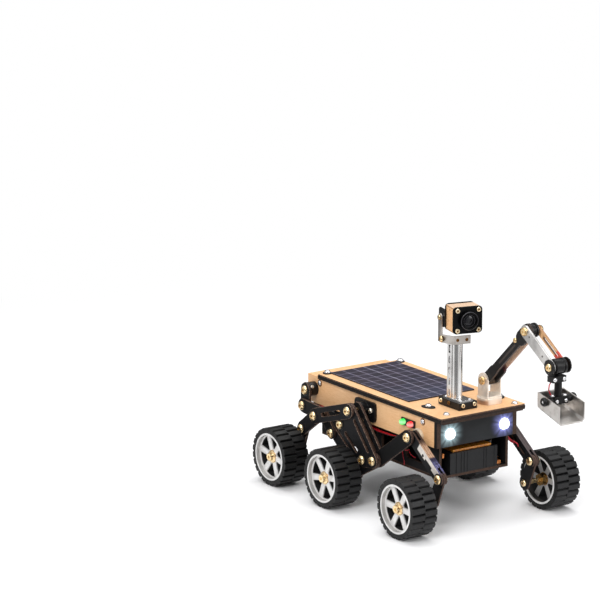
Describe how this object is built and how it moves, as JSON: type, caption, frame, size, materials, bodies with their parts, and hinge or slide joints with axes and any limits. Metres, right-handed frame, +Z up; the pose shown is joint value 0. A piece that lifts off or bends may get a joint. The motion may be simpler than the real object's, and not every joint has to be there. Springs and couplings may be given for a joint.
{
  "type": "six-wheeled model planetary rover",
  "caption": "Tabletop six-wheeled rover with linked suspension, a solar deck, a camera mast and an arm with a scoop.",
  "frame": {"origin": "on the floor under the middle of the whole length, midway between the left and right wheels", "axes": "+X forward towards the scoop, +Y to the rover's left, +Z up"},
  "size_m": [0.387, 0.2228, 0.234],
  "materials": {
    "plywood": "light laser-cut plywood, clear satin, scorched edges",
    "edge_black": "plywood stained black",
    "link_black": "plates stained matte black with brown cut edges",
    "slate": "satin slate panel",
    "solar_cell": "dark blue cells under clear film",
    "tyre": "matte black rubber",
    "rim_silver": "satin silver, moulded",
    "brass": "turned brass",
    "aluminium": "brushed aluminium",
    "nickel": "nickel-plated steel",
    "black_plastic": "moulded black plastic",
    "cell_orange": "orange film",
    "lamp_white": "clear white lamp",
    "lamp_signal": "clear coloured lamps, one green and one red",
    "nylon_cream": "natural nylon",
    "wire_red": "red silicone wire"
  },
  "bodies": {
    "chassis": {"arm_foot": "nickel", "battery_box": "black_plastic", "belly_wires": "wire_red", "box_floor": "edge_black", "front_arms": "link_black", "front_legs": "link_black", "front_panel": "slate", "front_posts": "edge_black", "head_lamps": "lamp_white", "knee_standoffs": "nylon_cream", "lid_plate": "plywood", "lid_rims": "edge_black", "lower_struts": "link_black", "mast_block": "black_plastic", "mast_tube": "aluminium", "middle_brackets": "link_black", "pivot_pins": "brass", "pouch_cell": "cell_orange", "rear_legs": "link_black", "rear_panel": "plywood", "rocker_plates": "link_black", "side_bosses": "black_plastic", "side_panels": "plywood", "slotted_arms": "link_black", "solar_panel": "solar_cell", "status_lamps": "lamp_signal", "status_plate": "black_plastic", "tail_links": "link_black", "tray_floor": "edge_black", "tray_rear": "edge_black", "tray_sides": "edge_black"},
    "arm_turret": {"arm_fork": "nickel"},
    "upper_arm": {"upper_arm_near": "link_black", "upper_arm_far": "plywood", "shoulder_pin": "brass"},
    "forearm": {"forearm_near": "aluminium", "forearm_far": "plywood", "elbow_pin": "brass"},
    "wrist": {"wrist_drum": "black_plastic", "scoop_yoke": "black_plastic", "wrist_wire": "wire_red"},
    "scoop": {"scoop": "aluminium"},
    "head_mount": {"head_bracket": "aluminium"},
    "camera_head": {"head_box": "plywood", "head_faceplate": "black_plastic", "head_lens": "black_plastic", "tilt_pivot": "black_plastic"},
    "wheel_front_left": {"tyre_front_left": "tyre", "wheel_front_left": "rim_silver"},
    "wheel_front_right": {"tyre_front_right": "tyre", "wheel_front_right": "rim_silver"},
    "wheel_middle_left": {"tyre_middle_left": "tyre", "wheel_middle_left": "rim_silver"},
    "wheel_middle_right": {"tyre_middle_right": "tyre", "wheel_middle_right": "rim_silver"},
    "wheel_rear_left": {"tyre_rear_left": "tyre", "wheel_rear_left": "rim_silver"},
    "wheel_rear_right": {"tyre_rear_right": "tyre", "wheel_rear_right": "rim_silver"}
  },
  "joints": [
    {"name": "wheel_front_left_spin", "type": "hinge", "parent": "chassis", "child": "wheel_front_left", "pos_m": [0.076, 0.0955, 0.0325], "axis": [0, 1, 0], "continuous": true},
    {"name": "wheel_front_right_spin", "type": "hinge", "parent": "chassis", "child": "wheel_front_right", "pos_m": [0.076, -0.0955, 0.0325], "axis": [0, 1, 0], "continuous": true},
    {"name": "wheel_middle_left_spin", "type": "hinge", "parent": "chassis", "child": "wheel_middle_left", "pos_m": [-0.06, 0.0955, 0.0325], "axis": [0, 1, 0], "continuous": true},
    {"name": "wheel_middle_right_spin", "type": "hinge", "parent": "chassis", "child": "wheel_middle_right", "pos_m": [-0.06, -0.0955, 0.0325], "axis": [0, 1, 0], "continuous": true},
    {"name": "wheel_rear_left_spin", "type": "hinge", "parent": "chassis", "child": "wheel_rear_left", "pos_m": [-0.161, 0.0955, 0.0325], "axis": [0, 1, 0], "continuous": true},
    {"name": "wheel_rear_right_spin", "type": "hinge", "parent": "chassis", "child": "wheel_rear_right", "pos_m": [-0.161, -0.0955, 0.0325], "axis": [0, 1, 0], "continuous": true},
    {"name": "arm_turn", "type": "hinge", "parent": "chassis", "child": "arm_turret", "pos_m": [0.0555, 0.0271, 0.1297], "axis": [0, 0, 1], "range_deg": [-45, 90]},
    {"name": "shoulder", "type": "hinge", "parent": "arm_turret", "child": "upper_arm", "pos_m": [0.0555, 0.0271, 0.148], "axis": [0, -1, 0], "range_deg": [-45, 40]},
    {"name": "elbow", "type": "hinge", "parent": "upper_arm", "child": "forearm", "pos_m": [0.126, 0.0271, 0.216], "axis": [0, 1, 0], "range_deg": [-60, 45]},
    {"name": "wrist", "type": "hinge", "parent": "forearm", "child": "wrist", "pos_m": [0.17, 0.0271, 0.187], "axis": [0, -1, 0], "range_deg": [-50, 50]},
    {"name": "scoop_tilt", "type": "hinge", "parent": "wrist", "child": "scoop", "pos_m": [0.171, 0.028, 0.1516], "axis": [0, -1, 0], "range_deg": [-30, 60]},
    {"name": "head_pan", "type": "hinge", "parent": "chassis", "child": "head_mount", "pos_m": [0.0475, -0.0106, 0.1912], "axis": [0, 0, 1], "range_deg": [-75, 75]},
    {"name": "head_tilt", "type": "hinge", "parent": "head_mount", "child": "camera_head", "pos_m": [0.03576, -0.00767, 0.218], "axis": [0.2419, 0.9703, 0], "range_deg": [-30, 7]}
  ]
}
